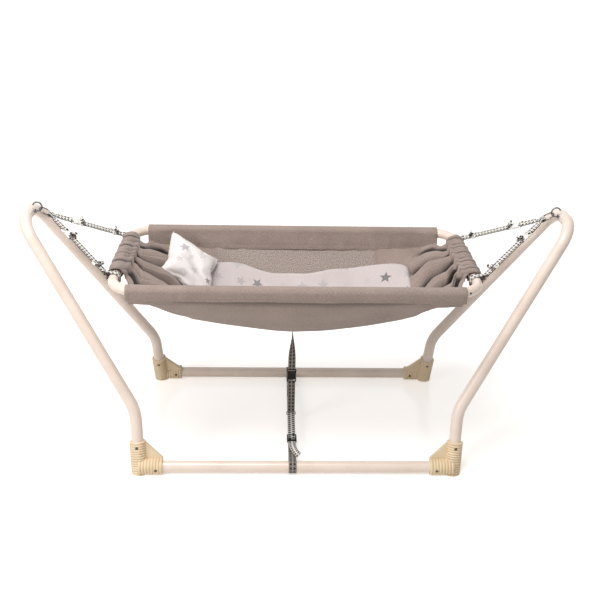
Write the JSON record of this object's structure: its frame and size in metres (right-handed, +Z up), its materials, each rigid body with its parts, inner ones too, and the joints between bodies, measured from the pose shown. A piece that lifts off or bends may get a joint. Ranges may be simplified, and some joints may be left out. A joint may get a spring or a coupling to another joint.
{
  "type": "hanging baby cradle",
  "caption": "Soft baby cradle on a tube frame, hung by webbing straps from two bent tube arches that stand on floor bars.",
  "frame": {"origin": "on the floor under the middle of the stand", "axes": "+Z up, +X along the cradle to the right end, -Y towards the front"},
  "size_m": [1.3852, 0.5316, 0.6389],
  "materials": {
    "tube_paint": "satin warm white",
    "corner_plastic": "ivory, finely ribbed",
    "screw_steel": "dull",
    "chrome": "polished",
    "white_plastic": "white",
    "black_plastic": "black",
    "pattern_webbing": "woven, black dots on white one side, white dots on dark the other",
    "taupe_cloth": "plain weave, heathered",
    "star_cloth": "white cotton with grey stars"
  },
  "bodies": {
    "stand": {"arch_left": "tube_paint", "hook_left": "chrome", "hook_nut_left": "chrome", "arch_right": "tube_paint", "hook_right": "chrome", "hook_nut_right": "chrome", "floor_bar_front": "tube_paint", "floor_bar_rear": "tube_paint", "corner_connector_front_left": "corner_plastic", "leg_screw_front_left": "screw_steel", "bar_screw_front_left": "screw_steel", "corner_connector_rear_left": "corner_plastic", "leg_screw_rear_left": "screw_steel", "bar_screw_rear_left": "screw_steel", "corner_connector_front_right": "corner_plastic", "leg_screw_front_right": "screw_steel", "bar_screw_front_right": "screw_steel", "corner_connector_rear_right": "corner_plastic", "leg_screw_rear_right": "screw_steel", "bar_screw_rear_right": "screw_steel", "cross_strap": "pattern_webbing"},
    "cradle": {"end_tube_left": "tube_paint", "gathered_end_left": "taupe_cloth", "ring_left": "chrome", "end_tube_right": "tube_paint", "gathered_end_right": "taupe_cloth", "ring_right": "chrome", "side_rail_front": "tube_paint", "sleeve_front": "taupe_cloth", "side_rail_rear": "tube_paint", "sleeve_rear": "taupe_cloth", "upper_strap_front_left": "pattern_webbing", "lower_strap_front_left": "pattern_webbing", "buckle_female_front_left": "white_plastic", "buckle_male_front_left": "white_plastic", "upper_strap_rear_left": "pattern_webbing", "lower_strap_rear_left": "pattern_webbing", "buckle_female_rear_left": "white_plastic", "buckle_male_rear_left": "white_plastic", "upper_strap_front_right": "pattern_webbing", "lower_strap_front_right": "pattern_webbing", "buckle_female_front_right": "white_plastic", "buckle_male_front_right": "white_plastic", "upper_strap_rear_right": "pattern_webbing", "lower_strap_rear_right": "pattern_webbing", "buckle_female_rear_right": "white_plastic", "buckle_male_rear_right": "white_plastic", "fabric_bed": "taupe_cloth", "mattress_pad": "star_cloth", "pillow": "star_cloth"},
    "tether": {"tether_strap_upper": "pattern_webbing", "tether_buckle_male": "black_plastic", "tether_buckle_female": "black_plastic", "tether_strap_lower": "pattern_webbing", "tether_ring": "black_plastic"},
    "cross_strap_lock": {"cross_strap_lock": "black_plastic"},
    "strap_slider_front_left": {"strap_slider_front_left": "white_plastic"},
    "strap_slider_rear_left": {"strap_slider_rear_left": "white_plastic"},
    "strap_slider_front_right": {"strap_slider_front_right": "white_plastic"},
    "strap_slider_rear_right": {"strap_slider_rear_right": "white_plastic"}
  },
  "joints": [
    {"name": "cradle_swing", "type": "hinge", "parent": "stand", "child": "cradle", "pos_m": [0, 0, 0.6185], "axis": [1, 0, 0], "range_deg": [-6, 6]},
    {"name": "tether_hang", "type": "hinge", "parent": "cradle", "child": "tether", "pos_m": [-0.011, 0, 0.2926], "axis": [1, 0, 0], "range_deg": [-6, 6]},
    {"name": "slider_front_left", "type": "slide", "parent": "cradle", "child": "strap_slider_front_left", "axis": [0.6758, -0.5872, -0.4455], "range_m": [-0.06, 0.015]},
    {"name": "slider_rear_left", "type": "slide", "parent": "cradle", "child": "strap_slider_rear_left", "axis": [0.6758, 0.5872, -0.4455], "range_m": [-0.06, 0.015]},
    {"name": "slider_front_right", "type": "slide", "parent": "cradle", "child": "strap_slider_front_right", "axis": [-0.7075, -0.5589, -0.4325], "range_m": [-0.06, 0.015]},
    {"name": "slider_rear_right", "type": "slide", "parent": "cradle", "child": "strap_slider_rear_right", "axis": [-0.7075, 0.5589, -0.4325], "range_m": [-0.06, 0.015]},
    {"name": "cross_strap_lock_slide", "type": "slide", "parent": "stand", "child": "cross_strap_lock", "axis": [0, 0.9994, 0.0352], "range_m": [0, 0.04]}
  ],
  "couplings": [
    {"joint": "tether_hang", "follows": "cradle_swing", "ratio": -1}
  ]
}
